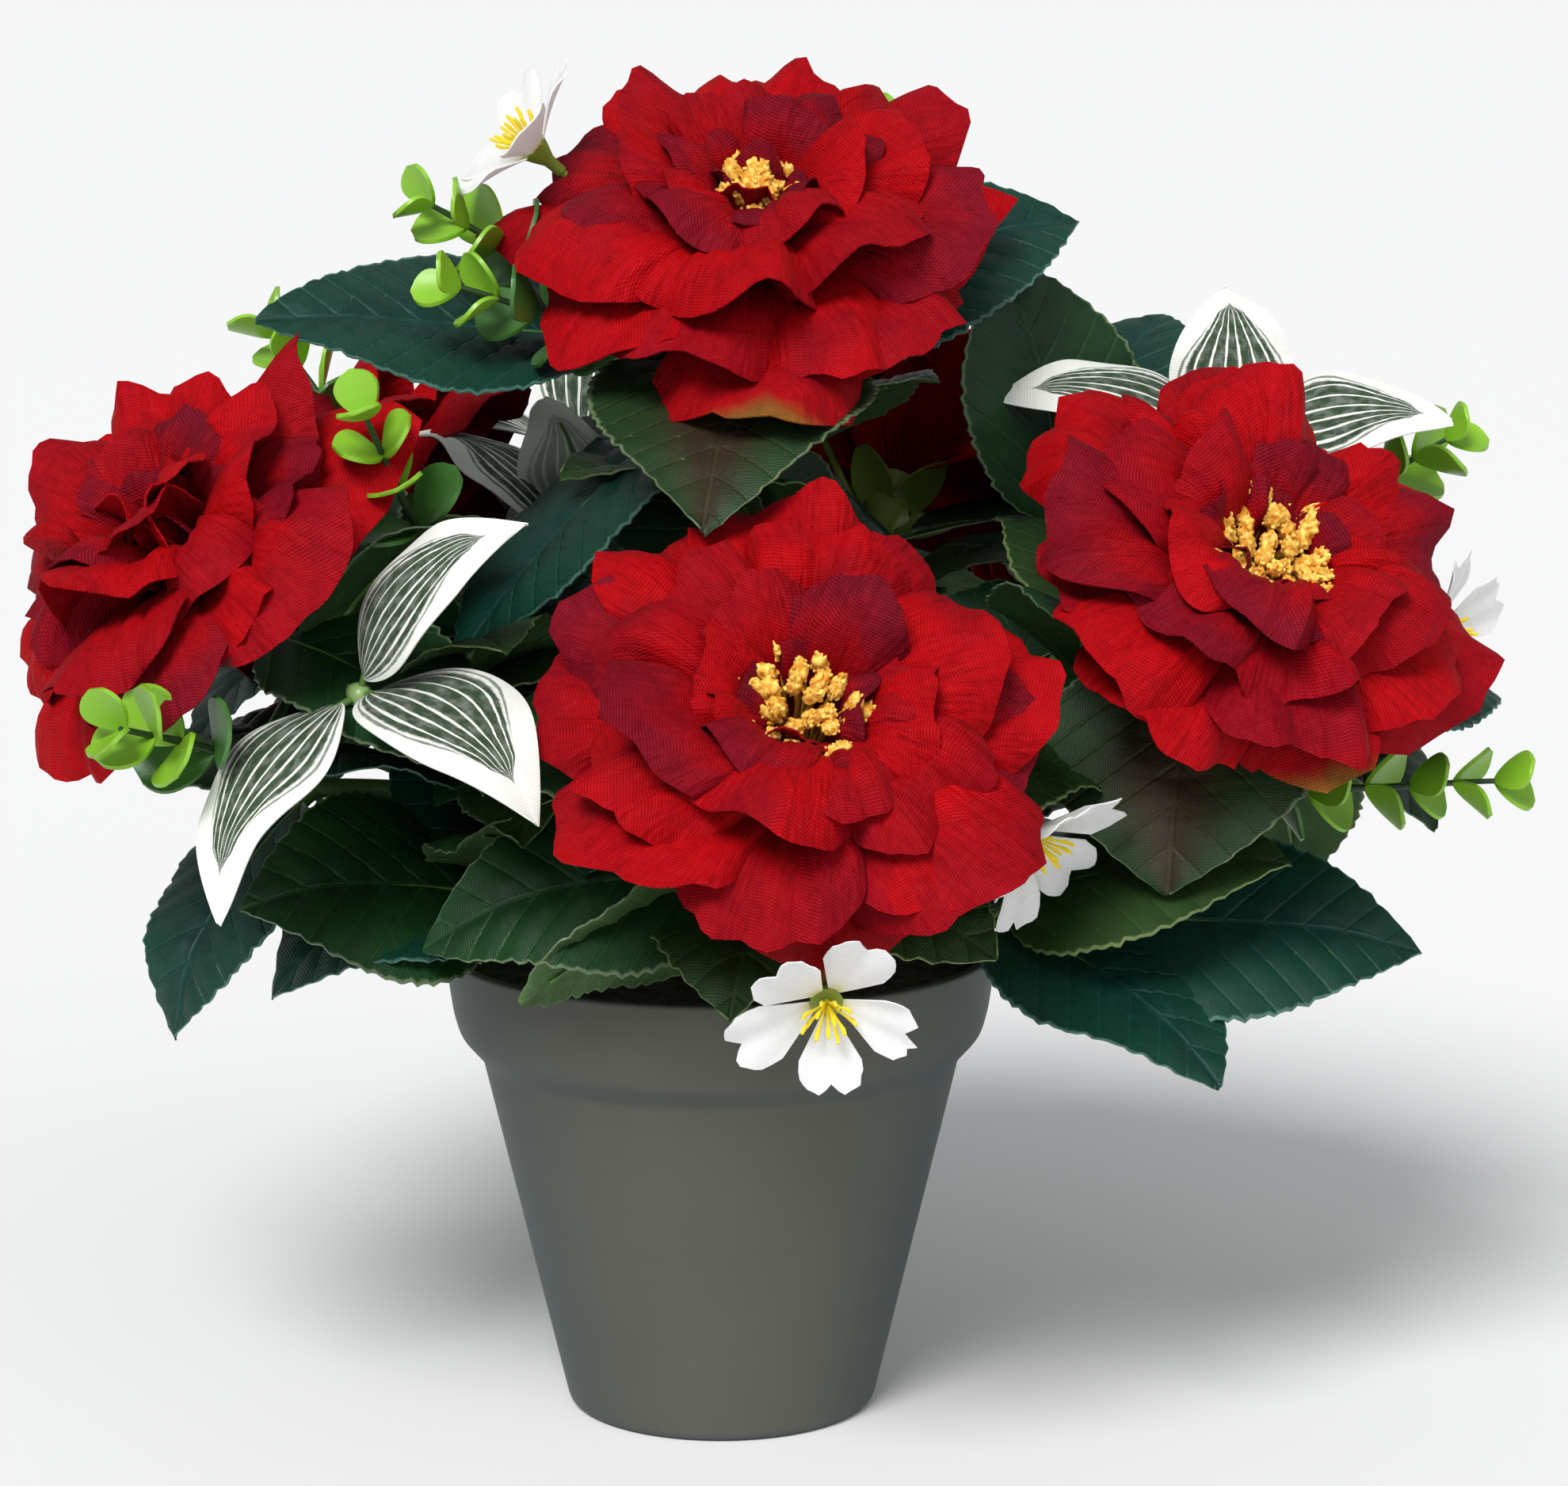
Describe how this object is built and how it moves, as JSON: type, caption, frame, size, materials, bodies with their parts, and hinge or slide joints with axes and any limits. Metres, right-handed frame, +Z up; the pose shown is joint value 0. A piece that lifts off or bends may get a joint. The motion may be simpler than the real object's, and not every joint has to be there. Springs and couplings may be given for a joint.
{
  "type": "artificial potted camellia",
  "caption": "Artificial camellia arrangement: large red fabric blooms, serrated leaves, striped leaves and small sprigs on short stems in a tapered round plastic pot.",
  "frame": {"origin": "centre of the pot's flat underside", "axes": "+Z up; the side with the low front bloom faces -Y, and +X is to the right when that side is seen from the front"},
  "size_m": [0.3186, 0.258, 0.2876],
  "materials": {
    "pot_plastic": "matte moulded plastic, taupe grey",
    "filler": "rough dark foam",
    "stem_plastic": "satin moulded plastic, green",
    "petal_fabric": "woven satin polyester, bright red",
    "leaf_fabric": "woven polyester with a light satin sheen, dark green",
    "striped_fabric": "matte woven polyester printed with green stripes on white",
    "sprig_plastic": "soft glossy moulded plastic, yellow-green",
    "white_fabric": "matte woven polyester, white",
    "stamen_flock": "grainy flocked stamens, golden yellow"
  },
  "bodies": {
    "root": {"bloom_back": "petal_fabric", "bloom_back_left": "petal_fabric", "bloom_back_right": "petal_fabric", "bloom_front": "petal_fabric", "bloom_left": "petal_fabric", "bloom_right": "petal_fabric", "bloom_top": "petal_fabric", "bough_back": "stem_plastic", "bough_back_left": "stem_plastic", "bough_back_right": "stem_plastic", "bough_front": "stem_plastic", "bough_left": "stem_plastic", "bough_left_low": "stem_plastic", "bough_right": "stem_plastic", "bough_rim_back_left": "stem_plastic", "bough_rim_back_right": "stem_plastic", "bough_rim_front": "stem_plastic", "bough_rim_left": "stem_plastic", "bough_rim_right": "stem_plastic", "bough_top": "stem_plastic", "flower_back": "white_fabric", "flower_far_right": "white_fabric", "flower_front": "white_fabric", "flower_front_right": "white_fabric", "flower_upper_left": "white_fabric", "leaves_back": "leaf_fabric", "leaves_back_left": "leaf_fabric", "leaves_back_right": "leaf_fabric", "leaves_front": "leaf_fabric", "leaves_left": "leaf_fabric", "leaves_left_low": "leaf_fabric", "leaves_right": "leaf_fabric", "leaves_right_high": "leaf_fabric", "leaves_rim_back_left": "leaf_fabric", "leaves_rim_back_right": "leaf_fabric", "leaves_rim_front": "leaf_fabric", "leaves_rim_left": "leaf_fabric", "leaves_rim_right": "leaf_fabric", "leaves_top": "leaf_fabric", "main_stem": "stem_plastic", "pot": "pot_plastic", "pot_fill": "filler", "sprig_back": "sprig_plastic", "sprig_back_low": "sprig_plastic", "sprig_far_left": "sprig_plastic", "sprig_left_front": "sprig_plastic", "sprig_left_upper": "sprig_plastic", "sprig_right": "sprig_plastic", "sprig_right_back": "sprig_plastic", "sprig_top_back": "sprig_plastic", "sprig_top_front": "sprig_plastic", "sprig_top_left": "sprig_plastic", "striped_back": "striped_fabric", "striped_left": "striped_fabric", "striped_middle": "striped_fabric", "striped_right": "striped_fabric"}
  },
  "joints": []
}
